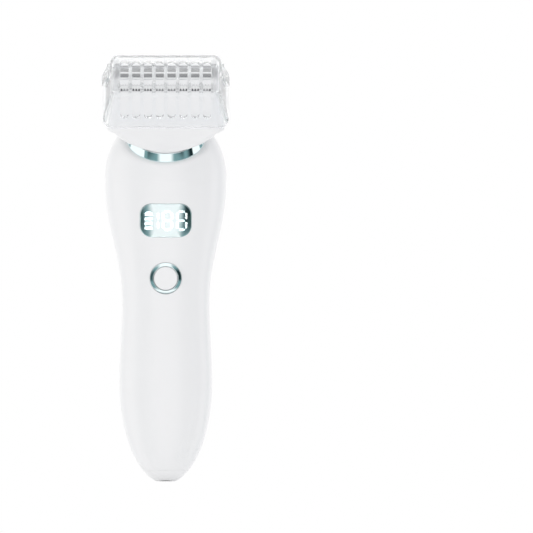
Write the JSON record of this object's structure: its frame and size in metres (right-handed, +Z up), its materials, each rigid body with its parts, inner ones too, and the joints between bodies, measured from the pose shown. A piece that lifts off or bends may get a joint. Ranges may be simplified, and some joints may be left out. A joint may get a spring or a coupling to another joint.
{
  "type": "cordless foil shaver",
  "caption": "Cordless lady shaver: a curved handle with a leaning neck, charge display and power button, a pull-off foil and trimmer head, and a clear comb cap.",
  "frame": {"origin": "centre of the mouth of the charging recess in the tail", "axes": "+Z up the handle towards the head, -Y towards the front face with the display, +X to the viewer's right"},
  "size_m": [0.049, 0.0561, 0.1653],
  "materials": {
    "shell": "satin moulded ABS, near white",
    "chrome": "bright vacuum-plated, slightly teal",
    "window": "convex tinted half-mirror lens",
    "icons": "lit white segments",
    "dark_plastic": "matt black",
    "silicone": "soft grey silicone",
    "board": "green solder mask",
    "components": "moulded black packages",
    "steel": "plated steel",
    "inner_plastic": "natural acetal",
    "cell": "shrink sleeve",
    "foam": "closed-cell foam",
    "leads": "silicone-insulated wire",
    "bridge": "acetal",
    "blade_steel": "ground stainless steel",
    "clear": "clear polished polycarbonate"
  },
  "bodies": {
    "handle": {"front_shell": "shell", "rear_shell": "shell", "tail_cap": "shell", "collar_ring": "chrome", "neck_plate": "shell", "neck_gasket": "silicone", "shaft_seal": "silicone", "display_window": "window", "display_icons": "icons", "display_module": "dark_plastic", "button_ring": "chrome", "button_seal": "silicone", "tact_switch": "steel", "main_pcb": "board", "pcb_components": "components", "pcb_screws": "steel", "chassis": "inner_plastic", "battery_cell": "cell", "battery_tabs": "steel", "battery_pad": "foam", "charging_socket": "dark_plastic", "charging_pin": "steel", "socket_seal": "silicone", "motor": "steel", "motor_cap": "dark_plastic", "motor_holder": "inner_plastic", "battery_leads": "leads", "motor_leads": "leads"},
    "button": {"power_button": "shell", "switch_plunger": "dark_plastic"},
    "rotor": {"motor_shaft": "steel", "eccentric": "inner_plastic"},
    "head": {"head_base": "shell", "head_clip": "steel", "fork_guide": "steel", "head_screws": "steel"},
    "drive": {"drive_fork": "bridge", "trimmer_blade": "blade_steel", "blade_springs": "steel"},
    "cutter": {"inner_blade": "blade_steel"},
    "foil_cassette": {"foil_frame": "shell", "trimmer_comb": "blade_steel", "foil_springs": "steel"},
    "foil": {"foil_carrier": "inner_plastic", "shaver_foil": "blade_steel"},
    "cap": {"comb_cap": "clear"}
  },
  "joints": [
    {"name": "power_press", "type": "slide", "parent": "handle", "child": "button", "axis": [0, 0.988, 0.1544], "range_m": [0, 0.0004], "stiffness_N_per_m": 4000, "springref_m": -0.0003},
    {"name": "motor_spin", "type": "hinge", "parent": "handle", "child": "rotor", "pos_m": [0, -0.006, 0.1327], "axis": [0, -0.6018, 0.7986], "continuous": true},
    {"name": "head_release", "type": "slide", "parent": "handle", "child": "head", "axis": [0, -0.6018, 0.7986], "range_m": [0, 0.03]},
    {"name": "bridge_stroke", "type": "slide", "parent": "head", "child": "drive", "axis": [1, 0, 0], "range_m": [-0.0008, 0.0008]},
    {"name": "cutter_float", "type": "slide", "parent": "drive", "child": "cutter", "axis": [0, 0.6018, -0.7986], "range_m": [0, 0.0008], "deforming": ["blade_springs"]},
    {"name": "cassette_release", "type": "slide", "parent": "head", "child": "foil_cassette", "axis": [0, -0.6018, 0.7986], "range_m": [0, 0.022]},
    {"name": "foil_float", "type": "slide", "parent": "foil_cassette", "child": "foil", "axis": [0, 0.6018, -0.7986], "range_m": [0, 0.0008], "stiffness_N_per_m": 1500, "springref_m": -0.0006, "deforming": ["foil_springs"]},
    {"name": "cap_release", "type": "slide", "parent": "foil_cassette", "child": "cap", "axis": [0, -0.6018, 0.7986], "range_m": [0, 0.025]}
  ],
  "couplings": [
    {"joint": "cutter_float", "follows": "foil_float", "ratio": 1}
  ]
}
